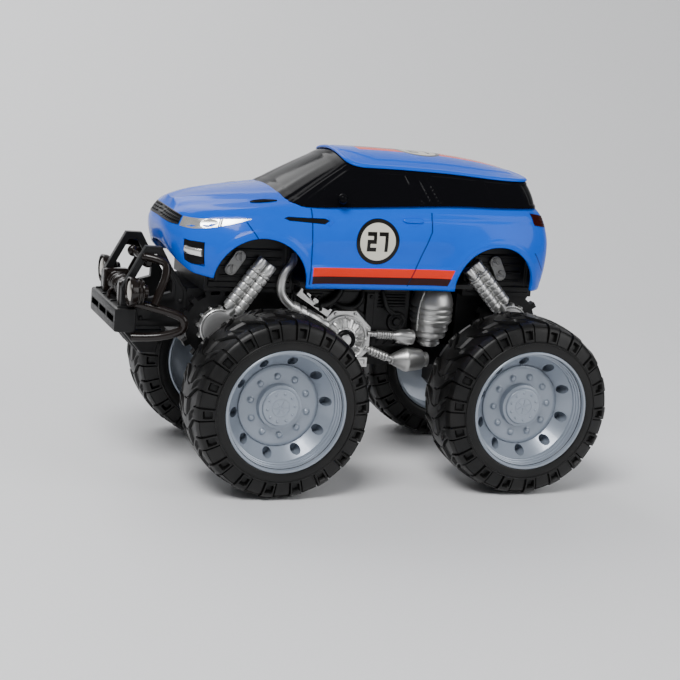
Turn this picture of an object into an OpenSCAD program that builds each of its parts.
// Toy monster truck: a lifted estate-car body on four big soft tyres.
// +X is forward, +Y is the left side and +Z is up. The origin is on the floor,
// under the middle of the outer box. All sizes are in millimetres.

/* [Wheels] */
// Distance between the two axles
wheelbase = 120; // [104:1:144]
// Radius of a tyre over its tread
tyre_r = 42; // [35:0.5:50]
// Width of a tyre
tyre_w = 36.6; // [31:0.2:44]
// How much the tread falls away from its middle to its shoulder
tyre_shoulder = 2; // [1.5:0.1:3]
// Radius of a rim over its outer lip
rim_r = 28; // [25:0.5:33]
// Depth of the rim's face below its lip
dish_depth = 13.6; // [11.5:0.2:16]
// Height of the hub cap above the rim's face
hub_cap_h = 4.6; // [3.8:0.2:6]
// Diameter of the steel axle rods
axle_d = 3; // [2.5:0.1:3.6]
// Running clearance around a rod in its case, on the radius
axle_clear = 0.06; // [0.03:0.01:0.1]
// Gap between a tyre and the parts beside it
wheel_gap = 1.2; // [1:0.1:2.5]

/* [Body] */
// Height of the sill above the axles
body_lift = 51; // [48:0.1:61.2]
// Width of the body over its doors
body_w = 85; // [80:1:102]
// Length of the nose ahead of the front arch
nose_l = 40; // [36:1:48]
// Length of the tail behind the rear arch
tail_l = 32; // [29:1:38]
// Height of the side from the sill to the belt
side_h = 38; // [33:1:45]
// Height of the glass band above the belt
cabin_h = 16; // [14:0.5:19]
// Rise of the roof from its edge to its middle
roof_crown = 5; // [4:0.5:6]
// Rise of the bonnet from its edge to its middle
bonnet_crown = 4.6; // [3.6:0.2:5.6]
// Wall of the body shell
wall = 2; // [1.6:0.1:2.4]
// Radius of the front wheel arches
front_arch_r = 21; // [18:0.5:24]
// Radius of the rear wheel arches
rear_arch_r = 20.5; // [17.5:0.5:23.5]
// Front arch centre ahead of the front axle
front_arch_shift = 7.5; // [6:0.5:9]
// Rear arch centre ahead of the rear axle
rear_arch_shift = 12.5; // [10.5:0.5:15]
// Width of the glass band over its foot
glass_w = 76.4; // [70:0.2:79]
// Width of the roof over its edges
roof_w = 54; // [46:0.5:64]
// Gap between pieces that are clipped together
fit = 0.15; // [0.1:0.05:0.25]

/* [Chassis] */
// Width of the chassis core between the axle cases
core_w = 34.8; // [32:0.2:36]
// Width of the moulded engine
engine_w = 44; // [41:0.5:46]
// Width of the towers inside the wheel arches
tower_w = 53.4; // [50:0.1:64.1]
// Clearance under the axle cases
case_clear = 32; // [29:0.5:35]
// Height of the chassis core below the axle cases' top
case_h = 30; // [27:0.5:33]
// Depth of the belly between the axle cases
belly_h = 10; // [8:0.5:12]
// Height of the towers above the sill
tower_h = 20; // [16:0.5:23]
// Thickness of the floor pan
floor_t = 2; // [1.6:0.1:2.6]

/* [Fittings] */
// Radius of one tube of a twin shock over its ribs
shock_r = 2.3; // [1.9:0.1:2.6]
// Radius of the toothed seat at the foot of a shock
cog_r = 10; // [8.5:0.5:12]
// Radius of the large toothed disc behind that seat
disc_r = 17; // [14.5:0.5:20]
// Radius of the bumper and intake tubes
tube_r = 2.1; // [1.8:0.1:2.4]
// Radius of the air tank
tank_r = 10.4; // [9:0.2:11]
// Height of the air tank
tank_h = 29; // [24:0.5:30]
// Radius of the muffler at its widest
muffler_r = 6; // [5:0.2:6.4]
// Size of the gearbox cover across its flats
gearbox_w = 27; // [23:0.5:29]
// Reach of the bumper ahead of the front axle
bumper_reach = 70; // [66:1:78]
// Width of the bumper beam
beam_w = 50; // [44:1:58]
// Spacing of the two bumper plates over their outer faces
plate_span = 41; // [36:0.5:46]
// Thickness of a bumper plate
plate_t = 3; // [2.4:0.1:3.6]
// Radius of a bumper light
light_r = 6.8; // [5.8:0.1:7.6]

/* [Hidden] */

blue = [0.12, 0.45, 0.88];
black = [0.07, 0.07, 0.08];
silver = [0.72, 0.72, 0.73];
rim_grey = [0.47, 0.51, 0.59];
rubber = [0.12, 0.12, 0.12];
clear = [0.85, 0.88, 0.9];
grey = [0.55, 0.55, 0.55];

// Stations along the truck and heights above the floor
axle_z = tyre_r;
front_x = (wheelbase + tyre_r - bumper_reach) / 2;
rear_x = front_x - wheelbase;
sill_z = axle_z + body_lift;
belt_z = sill_z + side_h;
front_arch = [front_x + front_arch_shift, sill_z + 1.5];
rear_arch = [rear_x + rear_arch_shift, sill_z + 1];
body_front = front_arch[0] + nose_l;
body_rear = rear_arch[0] - tail_l;
body_x = (body_front + body_rear) / 2;
body_a = (body_front - body_rear) / 2;
body_b = body_w / 2;
tower_b = tower_w / 2;
engine_b = engine_w / 2;
core_b = core_w / 2;
case_top = case_clear + case_h;
side_y = tower_b + fit + shock_r;
wheel_in = side_y + shock_r + wheel_gap;
wheel_out = wheel_in + tyre_w;

// ---------------------------------------------------------------- surfaces
// A body ring is a superellipse seen from above, blunter at the tail.
nose_n = 4.4;
tail_n = 7;
ring_n = 48;
cap_cols = 8;
shoulder_rise = [[-1, -3], [-0.94, 1.5], [-0.43, 2.2], [0.37, -1],
    [0.68, -4.5], [0.9, -7], [1, -8]];
front_lip = [[0.35, 0], [0.6, 6]];
chin_ramp = [[0.8, 0], [0.93, 1]];
chin_rise = 8;
chin_half_w = 30;
tuck_top = 4.8;
tuck_foot = 2;
widest = 0.5;

function signed_power(v, e) = sign(v) * pow(abs(v), e);
function ellipse_point(th, front, rear, half, nf, nr) =
    let (n = cos(th) >= 0 ? nf : nr, a = cos(th) >= 0 ? front : rear)
    [a * signed_power(cos(th), 2 / n), half * signed_power(sin(th), 2 / n)];
function tuck(h) = h > widest
    ? tuck_top * pow((h - widest) / (1 - widest), 2)
    : tuck_foot * pow((widest - h) / widest, 2);
function shoulder_z(s) = belt_z + lookup(s, shoulder_rise);
function foot_z(s, y) = sill_z + lookup(s, front_lip)
    + chin_rise * lookup(s, chin_ramp) * max(0, 1 - pow(y / chin_half_w, 2));
function crown(s) = bonnet_crown * (1 - pow(s, 10));

// Point of the body side at angle th and height share h, moved in by inset
function body_point(th, h, inset = 0, drop = 0) =
    let (i = inset + tuck(h),
        p = ellipse_point(th, body_a - i, body_a - i, body_b - i, nose_n, tail_n),
        s = p[0] / body_a,
        foot = foot_z(s, p[1]),
        top = shoulder_z(s) - drop)
    [body_x + p[0], p[1], foot + (top - foot) * h];
// Half width of the body at station x and height share h
function body_half(x, h, inset = 0) =
    let (i = inset + tuck(h), s = (x - body_x) / (body_a - i), n = s > 0 ? nose_n : tail_n)
    (body_b - i) * pow(max(0, 1 - pow(abs(s), n)), 1 / n);
function share(x, z) =
    let (s = (x - body_x) / body_a, foot = foot_z(s, body_b))
    (z - foot) / (shoulder_z(s) - foot);
function body_top(x, y) =
    let (s = (x - body_x) / body_a)
    shoulder_z(s) + crown(s) * max(0, 1 - pow(y / body_half(x, 1), 2));

// Faces between two rings of n points, the second one above the first
function wall_faces(n, lower, upper) = [for (i = [0 : n - 1])
    let (j = (i + 1) % n)
    each [[lower + i, upper + i, upper + j], [lower + i, upper + j, lower + j]]];
// A cap joins each left point of a ring to the right point across from it
function cap_points(ring, rise) = [for (i = [1 : ring_n / 2 - 1], q = [1 : cap_cols - 1])
    let (left = ring[i], right = ring[ring_n - i], t = q / cap_cols)
    left + (right - left) * t + [0, 0, rise(left[0]) * 4 * t * (1 - t)]];
function cap_id(i, q, ring0, cap0) = q == 0 ? ring0 + i
    : q == cap_cols ? ring0 + ring_n - i
    : cap0 + (i - 1) * (cap_cols - 1) + q - 1;
function cap_faces(ring0, cap0) =
    let (last = ring_n / 2 - 1)
    [for (q = [0 : cap_cols - 1]) each concat(
        [[ring0, cap_id(1, q + 1, ring0, cap0), cap_id(1, q, ring0, cap0)]],
        [for (i = [1 : last - 1])
            let (a = cap_id(i, q, ring0, cap0), b = cap_id(i, q + 1, ring0, cap0),
                c = cap_id(i + 1, q + 1, ring0, cap0), d = cap_id(i + 1, q, ring0, cap0))
            each [[a, b, c], [a, c, d]]],
        [[cap_id(last, q, ring0, cap0), cap_id(last, q + 1, ring0, cap0),
            ring0 + ring_n / 2]])];
function flipped(faces) = [for (f = faces) [f[2], f[1], f[0]]];

// Closed solid through a stack of rings, with a crowned cap at each end
module stack(rings, rise_top, rise_foot) {
    count = len(rings);
    side = [for (r = rings) each r];
    top0 = len(side);
    top = cap_points(rings[count - 1], rise_top);
    foot0 = top0 + len(top);
    foot = cap_points(rings[0], rise_foot);
    polyhedron(points = concat(side, top, foot),
        faces = concat([for (k = [0 : count - 2])
                each wall_faces(ring_n, k * ring_n, (k + 1) * ring_n)],
            cap_faces((count - 1) * ring_n, top0),
            flipped(cap_faces(0, foot0))));
}

// Closed band through rings that go up outside and come down inside
module band(rings) {
    count = len(rings);
    polyhedron(points = [for (r = rings) each r],
        faces = [for (k = [0 : count - 1])
            each wall_faces(ring_n, k * ring_n, ((k + 1) % count) * ring_n)]);
}

// Slab on the body surface between two angles. low(t) and high(t) are its
// height shares at t = 0 to 1 along it, and it goes from proud to deep.
module patch(th0, th1, low, high, proud, deep) {
    steps = 8;
    rows = 3;
    loops = [for (k = [0 : steps])
        let (t = k / steps, th = th0 + (th1 - th0) * t)
        concat([for (j = [0 : rows]) body_point(th, low(t) + (high(t) - low(t)) * j / rows, -proud)],
            [for (j = [rows : -1 : 0]) body_point(th, low(t) + (high(t) - low(t)) * j / rows, deep)])];
    n = 2 * (rows + 1);
    last = steps * n;
    polyhedron(points = [for (l = loops) each l],
        faces = concat(
            [for (k = [0 : steps - 1], j = [0 : n - 1])
                let (a = k * n + j, b = k * n + (j + 1) % n, c = b + n, d = a + n)
                each [[a, b, c], [a, c, d]]],
            [for (j = [0 : rows - 1]) each [
                [j + 1, j, n - 1 - j], [j + 1, n - 1 - j, n - 2 - j],
                [last + j, last + j + 1, last + n - 1 - j],
                [last + j + 1, last + n - 2 - j, last + n - 1 - j]]]));
}

// ---------------------------------------------------------------- body
shares = [0, 0.25, 0.5, 0.75, 0.9, 1];
function body_ring(h, inset, drop) = [for (i = [0 : ring_n - 1])
    body_point(360 * i / ring_n, h, inset, drop)];
function crown_at(x) = crown((x - body_x) / body_a);
function flat_at(x) = 0;

// Foot of the glass band, as a ring on top of the body, and its roof edge
glass_x = body_x - 20;
glass_nf = 7;
glass_nr = 6;
glass_front = 63;
glass_rear = 67;
roof_front = 31;
roof_rear = 64;
roof_line = [[-64, -4], [-20, -0.2], [10, 1], [31, 1.2]];
function roof_z(x, y) =
    let (t = (x - glass_x) / roof_rear)
    belt_z + cabin_h - 1 + lookup(x - glass_x, roof_line)
        + roof_crown * max(0, 1 - pow(y / (roof_w / 2), 2)) * (1 - 0.75 * pow(t, 4));
function glass_foot(th, inset) =
    let (p = ellipse_point(th, glass_front - inset, glass_rear - inset,
        glass_w / 2 - inset, glass_nf, glass_nr))
    [glass_x + p[0], p[1], body_top(glass_x + p[0], p[1]) + 3 * fit];
function glass_head(th, inset, lift = 0) =
    let (p = ellipse_point(th, roof_front - inset, roof_rear - inset,
        roof_w / 2 - inset, glass_nf, glass_nr))
    [glass_x + p[0], p[1], roof_z(glass_x + p[0], p[1]) + lift];
function glass_ring(t, inset) = [for (i = [0 : ring_n - 1])
    let (th = 360 * i / ring_n, a = glass_foot(th, inset), b = glass_head(th, inset))
    a + (b - a) * t + 4 * t * (1 - t) * [cos(th), sin(th), 0]];

lamp_low = function(t) 0.62 + 0.22 * t;
lamp_high = function(t) 0.9 + 0.0 * t;
lamp_th = [22, 63];
grille_th = 20.5;
grille_low = function(t) 0.76 - 0.12 * pow(2 * t - 1, 2);
grille_high = function(t) 0.97 - 0.07 * pow(2 * t - 1, 2);
fog_th = [28, 43];
fog_low = function(t) 0.2;
fog_high = function(t) 0.55;
tail_th = [130, 152];
tail_low = function(t) 0.8;
tail_high = function(t) 0.93;
inlay = 1.3;
grow = 0.012;

module mirrored_pair() {
    children();
    mirror([0, 1, 0]) children();
}

module lamp_pocket(th, low, high) {
    patch(th[0] - 0.4, th[1] + 0.4, function(t) low(t) - grow, function(t) high(t) + grow,
        1, inlay + fit);
}

// Rounded bar along X between two stations, hugging the side at height z
module side_bar(x0, x1, z, r, out) {
    hull() {
        for (x = [x0, x1])
            translate([x, body_half(x, share(x, z)) + out, z]) sphere(r = r, $fn = 16);
    }
}

handle_x = [-22.5, -13];
handle_drop = 5.5;
wing_vent_x = [23, 43];
wing_vent_drop = 7.5;
bonnet_vent_x = [46, 57];
bonnet_vent_y = 27;
plate_recess = [26, 9];

module body_shell() color(blue) {
    difference() {
        stack([for (h = shares) body_ring(h, 0, 0)],
            function(x) crown_at(x), function(x) flat_at(x));
        stack(concat([[for (p = body_ring(0, wall, 0)) [p[0], p[1], p[2] - 5]]],
                [for (h = shares) body_ring(h, wall, wall)]),
            function(x) crown_at(x), function(x) flat_at(x));
        translate([front_arch[0], 0, front_arch[1]]) rotate([90, 0, 0])
            cylinder(r = front_arch_r, h = 2 * body_w, center = true, $fn = 64);
        translate([rear_arch[0], 0, rear_arch[1]]) rotate([90, 0, 0])
            cylinder(r = rear_arch_r, h = 2 * body_w, center = true, $fn = 64);
        translate([0, 0, belt_z - side_h / 2]) linear_extrude(height = side_h)
            polygon([for (i = [0 : ring_n - 1])
                let (p = glass_foot(360 * i / ring_n, 3.5)) [p[0], p[1]]]);
        patch(-grille_th - 0.4, grille_th + 0.4, function(t) grille_low(t) - grow,
            function(t) grille_high(t) + grow, 1, inlay + fit);
        mirrored_pair() {
            lamp_pocket(lamp_th, lamp_low, lamp_high);
            lamp_pocket(fog_th, fog_low, fog_high);
            lamp_pocket(tail_th, tail_low, tail_high);
            side_bar(body_x + handle_x[0] - 1, body_x + handle_x[1] + 1,
                belt_z - handle_drop, 1.4, 0.6);
            side_bar(body_x + wing_vent_x[0], body_x + wing_vent_x[1],
                belt_z - wing_vent_drop, 0.9, 0);
            hull() {
                for (x = bonnet_vent_x)
                    translate([body_x + x, bonnet_vent_y,
                        body_top(body_x + x, bonnet_vent_y) + 0.2])
                        sphere(r = 1, $fn = 16);
            }
        }
        hull() {
            for (y = [-1, 1], z = [0, 1])
                translate([body_rear - 0.5, y * plate_recess[0] / 2,
                    sill_z + 12 + z * plate_recess[1]])
                    sphere(r = 1.6, $fn = 16);
        }
    }
    mirrored_pair() {
        side_bar(body_x + handle_x[0], body_x + handle_x[1], belt_z - handle_drop, 0.8, 0);
    }
}

module window_band() color(black) {
    steps = [0, 0.33, 0.67, 1];
    band(concat([for (t = steps) glass_ring(t, 0)],
        [for (t = [1, 0.67, 0.33, 0]) glass_ring(t, wall)]));
}

module roof_panel() color(blue) {
    lip = -0.7;
    stack([[for (i = [0 : ring_n - 1]) glass_head(360 * i / ring_n, lip, fit)],
            [for (i = [0 : ring_n - 1]) glass_head(360 * i / ring_n, lip + 0.3, fit + 1.6)]],
        function(x) roof_rise(x, -lip), function(x) roof_rise(x, -lip));
}
// Rise of the roof at station x from its edge, which stands out by lip
function roof_rise(x, lip) =
    let (n = x > glass_x ? glass_nf : glass_nr,
        p = abs(x - glass_x) / ((x > glass_x ? roof_front : roof_rear) + lip),
        half = (roof_w / 2 + lip) * pow(max(0, 1 - pow(min(1, p), n)), 1 / n))
    roof_z(x, 0) - roof_z(x, half);

module grille() color(black)
    patch(-grille_th, grille_th, grille_low, grille_high, 0.1, inlay);
module headlamp(side) color(clear) mirror([0, side < 0 ? 1 : 0, 0])
    patch(lamp_th[0], lamp_th[1], lamp_low, lamp_high, 0.1, inlay);
module fog_lamps() color(black) mirrored_pair()
    patch(fog_th[0], fog_th[1], fog_low, fog_high, -0.2, inlay);
module tail_lamp(side) color([0.35, 0.03, 0.03]) mirror([0, side < 0 ? 1 : 0, 0])
    patch(tail_th[0], tail_th[1], tail_low, tail_high, 0.1, inlay);

mirror_x = 18;
mirror_up = 3.4;
module mirrors() color(black) mirrored_pair() {
    z = belt_z + mirror_up;
    t = mirror_up / cabin_h;
    y = glass_w / 2 * (1 - t) + roof_w / 2 * t + 1;
    hull() {
        translate([body_x + mirror_x, y + 3, z]) sphere(r = 2.2, $fn = 24);
        translate([body_x + mirror_x - 1, y + 4.2, z]) sphere(r = 2, $fn = 24);
    }
    translate([body_x + mirror_x, y + 0.2, z]) rotate([-90, 0, 0]) cylinder(r = 0.9, h = 3, $fn = 24);
}

// ---------------------------------------------------------------- chassis
$fn = 40;

// Outline in the XZ plane pushed sideways from y0 to y1
module side_slab(points, y0, y1) {
    translate([0, y1, 0]) rotate([90, 0, 0]) linear_extrude(height = y1 - y0) polygon(points);
}
module slab(x0, x1, y0, y1, z0, z1) {
    translate([x0, y0, z0]) cube([x1 - x0, y1 - y0, z1 - z0]);
}
// Round bar between two points
module bar(p, q, r) {
    d = q - p;
    translate(p) rotate([0, acos(d[2] / norm(d)), atan2(d[1], d[0])])
        cylinder(r = r, h = norm(d));
}
// Bent tube with round ends through a list of points
module bent_tube(points, r) {
    for (i = [0 : len(points) - 2]) hull() {
        translate(points[i]) sphere(r = r, $fn = 20);
        translate(points[i + 1]) sphere(r = r, $fn = 20);
    }
}
function arm(a) = [cos(a), sin(a)];
// Flat disc across the truck with square teeth round its rim
module toothed_disc(x, z, y0, y1, r, teeth, tooth_h) {
    step = 360 / teeth;
    root = r - tooth_h;
    translate([x, y1, z]) rotate([90, 0, 0]) linear_extrude(height = y1 - y0)
        polygon([for (k = [0 : teeth - 1]) each [
            root * arm(step * k), root * arm(step * (k + 0.3)), root * arm(step * (k + 0.6)),
            r * arm(step * (k + 0.63)), r * arm(step * (k + 0.97))]]);
}

front_tower_x = [front_x - 12, front_x + 30];
front_base_x = [front_x - 12, front_x + 36];
rear_tower_x = [rear_x - 14 + max(0, tower_b - 27) * 0.3, rear_x + 22];
front_case_x = [front_x - 16, front_x + 16];
rear_case_x = [rear_x - 16, rear_x + 20];
engine_x = [rear_x + 47, front_tower_x[0]];
front_disc = [front_x + 22.5, axle_z + 29.5];
rear_disc = [rear_x - 3.4, axle_z + 33];

module floor_pan() color(black) {
    h = (floor_t + 0.5) / side_h;
    half = min(body_half(front_tower_x[0], 0, wall), body_half(rear_tower_x[1], 0, wall)) - fit * 2;
    slab(rear_tower_x[1], front_tower_x[0], -half, half, sill_z + 0.3, sill_z + 0.3 + floor_t);
}
module engine_block() color(black) {
    slab(engine_x[0], engine_x[1], -engine_b, engine_b, case_top, sill_z + 0.3);
    slab(rear_tower_x[1], engine_x[0], -spine_b, spine_b, case_top, sill_z + 0.3);
}
module belly_pan() color(black)
    side_slab([[rear_case_x[1], case_top], [rear_case_x[1], case_top - belly_h],
        [front_case_x[0], case_top - belly_h], [front_case_x[0], case_top]], -core_b, core_b);

module tower(top_x, base_x, disc) {
    slab(top_x[0], top_x[1], -tower_b, tower_b, sill_z - 5, sill_z + tower_h);
    slab(base_x[0], base_x[1], -base_b, base_b, case_top, sill_z - 5);
    for (side = [-1, 1])
        toothed_disc(disc[0], disc[1], side > 0 ? base_b : -disc_b,
            side > 0 ? disc_b : -base_b, disc_r, 14, 2.4);
}
module front_tower() color(black) {
    tower(front_tower_x, front_base_x, front_disc);
}
module rear_tower() color(black) {
    tower(rear_tower_x, rear_tower_x, rear_disc);
}

// Axle case: a box with sloped ends and a bore for the rod
module axle_case(x, ends, hollow) {
    slope = 5;
    difference() {
        side_slab([[ends[0], case_top], [ends[0], case_clear + slope], [ends[0] + slope, case_clear],
            [ends[1] - slope, case_clear], [ends[1], case_clear + slope], [ends[1], case_top]],
            -core_b, core_b);
        translate([x, 0, axle_z]) rotate([90, 0, 0])
            cylinder(d = axle_d + 2 * axle_clear, h = core_w + 2, center = true);
        if (hollow)
            slab(motor_x[0] - fit, motor_x[1] + fit, -motor_b - fit, motor_b + fit,
                motor_z[0] - fit, motor_z[1] + fit);
    }
}
motor_x = [rear_x - 11, rear_x + 15];
motor_z = [axle_z + axle_d / 2 + 3, case_top - 2];
motor_b = 13;
module front_axle_case() color(black) axle_case(front_x, front_case_x, false);
module rear_axle_case() color(black) axle_case(rear_x, rear_case_x, true);
module friction_motor() color(grey)
    slab(motor_x[0], motor_x[1], -motor_b, motor_b, motor_z[0], motor_z[1]);

// ---------------------------------------------------------------- fittings
disc_b = side_y - shock_r - 1.8;
base_b = plate_span / 2 + fit;
tank_y = side_y + shock_r - tank_r - 0.8;
spine_b = tank_y - tank_r - 2 * fit;
tank_x = (rear_tower_x[1] + engine_x[0]) / 2;
muffler_y = core_b + 2 * fit + muffler_r;
muffler_z = case_top - muffler_r - fit;
front_shock = [[front_x + 1.2, sill_z + 9.5], [front_x + 16.6, axle_z + 38]];
rear_shock = [[rear_x + 19.8, sill_z + 10], [rear_x + 2.4, axle_z + 42]];

// Ribbed tube along +Z, r over its ribs
module ribbed_tube(r, length, ribs) {
    pitch = length / ribs;
    rotate_extrude() polygon(concat([[0, 0]],
        [for (k = [0 : ribs - 1]) each [[r * 0.8, k * pitch], [r, (k + 0.25) * pitch],
            [r, (k + 0.75) * pitch], [r * 0.8, (k + 1) * pitch]]],
        [[0, length]]));
}
// Twin ribbed tubes from a toothed seat up to plain caps
module shock(ends, seat) {
    top = [ends[0][0], side_y, ends[0][1]];
    foot = [ends[1][0], side_y, ends[1][1]];
    run = top - foot;
    lean = atan2(run[0], run[2]);
    cap_h = 6;
    translate(foot) rotate([0, lean, 0])
        for (k = [-1, 1]) translate([k * (shock_r + 0.05), 0, 0]) {
            ribbed_tube(shock_r, norm(run) - cap_h, 8);
            translate([0, 0, norm(run) - cap_h]) cylinder(r = shock_r, h = cap_h);
        }
    translate(foot) rotate([0, lean, 0])
        translate([-shock_r, -shock_r * 0.7, -1]) cube([2 * shock_r, 1.4 * shock_r, norm(run)]);
    toothed_disc(seat[0], seat[1], disc_b + fit, side_y + 0.6, cog_r, 12, 1.6);
    translate([seat[0], side_y + 1.4, seat[1]]) rotate([90, 0, 0])
        cylinder(r = cog_r * 0.8, h = 2);
}
module on_side(side) mirror([0, side < 0 ? 1 : 0, 0]) children();
module front_shock_on(side) color(silver) on_side(side) shock(front_shock, front_disc);
module rear_shock_on(side) color(silver) on_side(side) shock(rear_shock, rear_disc);

screw_w = 5.6;
screw_l = 12.5;
screw_lean = 33;
module screw_plate(x, z, lean) {
    translate([x, tower_b + 1.3 + fit, z]) rotate([90, 0, 0]) rotate([0, 0, lean])
        linear_extrude(height = 1.3) {
            for (k = [-1, 1]) translate([0, k * (screw_l - screw_w) / 2]) circle(d = screw_w);
            square([screw_w, screw_l - screw_w], center = true);
        }
}
module screw_plates() color(grey) mirrored_pair() {
    screw_plate(front_x + 16.5, sill_z + 8.8, screw_lean);
    screw_plate(rear_x + 5.5, sill_z + 8.8, -screw_lean);
}

gearbox_at = [front_x - 40.2, case_top + 4];
module gearbox(side) color(silver) on_side(side)
    translate([gearbox_at[0], engine_b, gearbox_at[1]]) rotate([-90, 0, 0]) {
        half = gearbox_w / 2;
        rotate([0, 0, 22.5]) cylinder(r = half / cos(22.5), h = 3.6, $fn = 8);
        cylinder(r1 = half * 0.84, r2 = half * 0.74, h = 5.2);
        cylinder(r = 3.4, h = 7.4);
    }

// Elbow down out of the arch, collars, then a straight pipe to the gearbox
intake_y = side_y;
module intake(side) color(silver) on_side(side) {
    r = tube_r;
    top = [front_x - 13, intake_y, sill_z + 9.6];
    knee = [front_x - 5.6, intake_y, sill_z - 1];
    foot = [front_x - 12, intake_y, sill_z - 11.3];
    last = [gearbox_at[0] + gearbox_w * 0.4, engine_b + 5.6, gearbox_at[1] + gearbox_w * 0.27];
    bent_tube([top, knee + [-1.6, 0, 6], knee, knee + [-1, 0, -5.6], foot, last], r);
    lead = (last - foot) / norm(last - foot);
    for (k = [1.5, 5]) bar(foot + lead * k, foot + lead * (k + 2.2), r + 0.6);
}

tank_top = min(tank_h, sill_z - case_top - fit - 1);
tank_rib = (tank_top - 18.5) / 3;
module air_tank(side) color(silver) on_side(side)
    translate([tank_x, tank_y, case_top + fit]) rotate_extrude()
        polygon(concat([[0, 0], [tank_r * 0.55, 0], [tank_r * 0.72, 1.2], [tank_r * 0.72, 5],
                [tank_r * 0.95, 8.5]],
            [for (k = [0 : 2]) each [[tank_r * 0.93, 8.5 + tank_rib * (k + 0.2)],
                [tank_r, 8.5 + tank_rib * (k + 0.4)], [tank_r, 8.5 + tank_rib * (k + 0.8)],
                [tank_r * 0.93, 8.5 + tank_rib * (k + 1)]]],
            [for (a = [0 : 15 : 75]) [tank_r * cos(a), tank_top - 10 + 10 * sin(a)]],
            [[0, tank_top]]));

module corrugated(p, q, r) {
    d = q - p;
    translate(p) rotate([0, acos(d[2] / norm(d)), atan2(d[1], d[0])])
        ribbed_tube(r, norm(d), 6);
}
module exhaust(side) color(silver) on_side(side) {
    box_end = gearbox_at[0] - gearbox_w / 2 - fit;
    out_y = engine_b + tube_r + 1;
    tank_end = tank_x + sqrt(pow(tank_r, 2) - pow(out_y - tank_y, 2)) + fit;
    corrugated([box_end, out_y, gearbox_at[1] + 2], [tank_end + 4, out_y, gearbox_at[1] + 1],
        tube_r);
    translate([tank_end + 4.3, out_y, gearbox_at[1] + 1]) rotate([0, -90, 0])
        cylinder(r1 = tube_r, r2 = tube_r + 0.9, h = 4);
    corrugated([box_end, out_y - 1, gearbox_at[1] - 6],
        [tank_x + 20.4, muffler_y + 0.4, muffler_z + 0.2], tube_r);
    translate([tank_x + 20.3, muffler_y, muffler_z]) rotate([0, -90, 0]) {
        cylinder(r1 = tube_r, r2 = muffler_r, h = 8);
        translate([0, 0, 8]) cylinder(r1 = muffler_r, r2 = muffler_r * 0.8, h = 8);
        translate([0, 0, 16]) cylinder(r = tube_r, h = 3);
    }
}

// ---------------------------------------------------------------- bumper
beam_z = [axle_z + 26, axle_z + 37];
beam_x = [front_x + 60, front_x + bumper_reach];
plate_in = plate_span / 2 - plate_t;
module bumper_beam() color(black)
    slab(beam_x[0], beam_x[1], -beam_w / 2, beam_w / 2, beam_z[0], beam_z[1]);
module bumper_plate(side) color(black) on_side(side)
    side_slab([[front_base_x[1], beam_z[0] + 2], [beam_x[0], beam_z[0] + 2],
        [beam_x[0], beam_z[1]], [beam_x[1] - 3.4, beam_z[1]], [beam_x[1] - 3.4, axle_z + 45.7],
        [front_x + 56.4, axle_z + 65], [front_x + 49, axle_z + 64.8],
        [front_x + 44, axle_z + 56], [front_base_x[1], axle_z + 44]],
        plate_in, plate_in + plate_t);
module skid_plate() color(black)
    side_slab([[front_x + 65, beam_z[0]], [front_x + 46, beam_z[0]],
        [front_x + 48, axle_z + 14.5], [front_x + 55, axle_z + 14.5]],
        -plate_in, plate_in);
module winch() color(black) {
    cheek = 4;
    b = plate_in - fit;
    x = [front_x + 55, front_x + 67];
    for (side = [-1, 1])
        on_side(side) slab(x[0], x[1], b - cheek, b, beam_z[1], beam_z[1] + 11);
    translate([(x[0] + x[1]) / 2, 0, beam_z[1] + 5.5]) rotate([90, 0, 0])
        cylinder(r = 4.6, h = 2 * b - 1, center = true);
}
light_at = [front_x + 64.3, plate_span / 2 + light_r + fit, axle_z + 51];
module bumper_light(side) color(silver) on_side(side)
    translate(light_at - [9.5, 0, 0]) rotate([0, 90, 0]) {
        cylinder(r1 = light_r * 0.55, r2 = light_r * 0.8, h = 2.5);
        translate([0, 0, 2.5]) cylinder(r1 = light_r * 0.8, r2 = light_r, h = 5);
        translate([0, 0, 7.5]) cylinder(r = light_r, h = 2);
    }
module bull_bar(side) color(black) on_side(side) {
    y = plate_span / 2;
    bent_tube([[front_x + 52.4, y + 5.6, axle_z + 48], [front_x + 45, y + 10, axle_z + 45.4],
        [front_x + 40.4, y + 11, axle_z + 40.6], [front_x + 44.5, y + 10, axle_z + 36],
        [front_x + 51.5, y + 7, axle_z + 33.6], [beam_x[0] - tube_r - fit, y + 2.4, axle_z + 32.8]],
        tube_r);
    bent_tube([[front_x + 53, y + tube_r + fit, axle_z + 62.4], [front_x + 47.6, y + 3, axle_z + 61],
        [front_x + 49.6, y + 7.4, axle_z + 47.2]], tube_r);
}

// ---------------------------------------------------------------- wheels
// The rod runs between the hub caps of its two wheels
module axle_rod(x) color(silver)
    translate([x, 0, axle_z]) rotate([90, 0, 0])
        cylinder(d = axle_d, h = 2 * (wheel_out - dish_depth), center = true);

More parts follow.
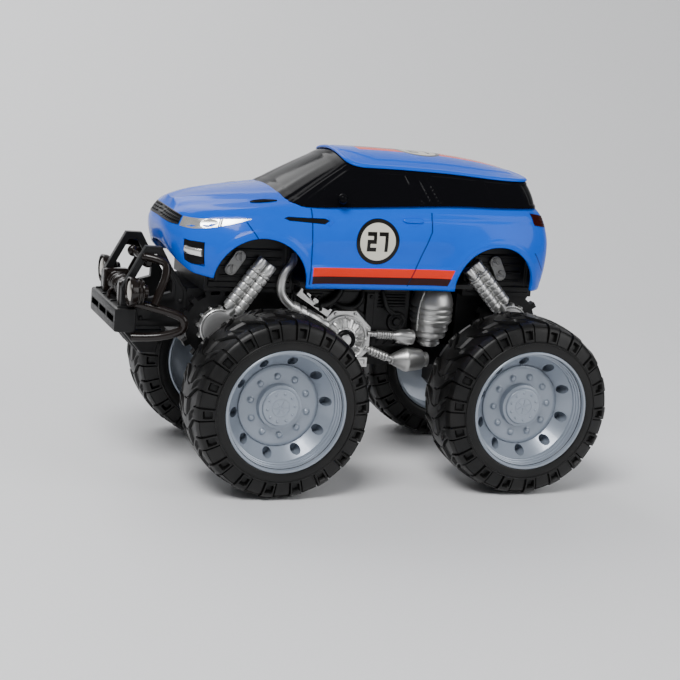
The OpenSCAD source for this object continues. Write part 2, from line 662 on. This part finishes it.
module rim_at(x, side) color(rim_grey) on_side(side)
    translate([x, wheel_in, axle_z]) rotate([-90, 0, 0]) difference() {
        t = 1.6;
        face = tyre_w - dish_depth;
        rotate_extrude(convexity = 4) polygon([
            [0, face - t], [rim_r * 0.62, face - t], [rim_r - t - 1.4, face + 2],
            [rim_r - t, 1], [rim_r - t, 0],
            [rim_r, 0], [rim_r, tyre_w - 0.4], [rim_r - 1.2, tyre_w],
            [rim_r - t, tyre_w - 0.6], [rim_r - 2.2, face + 5.4],
            [rim_r * 0.67, face - 0.8], [rim_r * 0.66, face],
            [rim_r * 0.36, face], [rim_r * 0.35, face + 1.4], [rim_r * 0.31, face + 1.4],
            [rim_r * 0.3, face + hub_cap_h], [0, face + hub_cap_h]]);
        translate([0, 0, -1]) cylinder(d = axle_d, h = face + 1);
    }
module rim_hub(x, side) color(rim_grey) on_side(side)
    translate([x, wheel_in, axle_z]) rotate([-90, 0, 0]) difference() {
        cylinder(r = axle_d / 2 + 2.5, h = tyre_w - dish_depth - 1);
        translate([0, 0, -1]) cylinder(d = axle_d, h = tyre_w);
    }
module rim(x, side) {
    rim_at(x, side);
    rim_hub(x, side);
}

module tyre(x, side) color(rubber) on_side(side)
    translate([x, wheel_in, axle_z]) rotate([-90, 0, 0])
        rotate_extrude(convexity = 4, $fn = 72) {
            s = tyre_shoulder;
            polygon(concat([[rim_r, 0], [tyre_r - s, 0]],
                [for (k = [0 : 12])
                    let (u = k / 12 * 2 - 1)
                    [tyre_r - s * pow(abs(u), 3), tyre_w / 2 * (1 + u)]],
                [[tyre_r - s, tyre_w], [rim_r, tyre_w]]));
        }

body_shell();
window_band();
roof_panel();
grille();
headlamp(1);  // headlamp_left
headlamp(-1);  // headlamp_right
fog_lamps();
tail_lamp(1);  // tail_lamp_left
tail_lamp(-1);  // tail_lamp_right
mirrors();
floor_pan();
engine_block();
belly_pan();
front_tower();
rear_tower();
front_axle_case();
rear_axle_case();
friction_motor();
front_shock_on(1);  // shock_front_left
front_shock_on(-1);  // shock_front_right
rear_shock_on(1);  // shock_rear_left
rear_shock_on(-1);  // shock_rear_right
screw_plates();
gearbox(1);  // gearbox_left
gearbox(-1);  // gearbox_right
intake(1);  // intake_left
intake(-1);  // intake_right
air_tank(1);  // air_tank_left
air_tank(-1);  // air_tank_right
exhaust(1);  // exhaust_left
exhaust(-1);  // exhaust_right
bumper_beam();
bumper_plate(1);  // bumper_plate_left
bumper_plate(-1);  // bumper_plate_right
skid_plate();
winch();
bull_bar(1);  // bull_bar_left
bull_bar(-1);  // bull_bar_right
bumper_light(1);  // bumper_light_left
bumper_light(-1);  // bumper_light_right
axle_rod(front_x);  // front_axle
axle_rod(rear_x);  // rear_axle
rim(front_x, 1);  // rim_front_left
rim(front_x, -1);  // rim_front_right
rim(rear_x, 1);  // rim_rear_left
rim(rear_x, -1);  // rim_rear_right
tyre(front_x, 1);  // tyre_front_left
tyre(front_x, -1);  // tyre_front_right
tyre(rear_x, 1);  // tyre_rear_left
tyre(rear_x, -1);  // tyre_rear_right
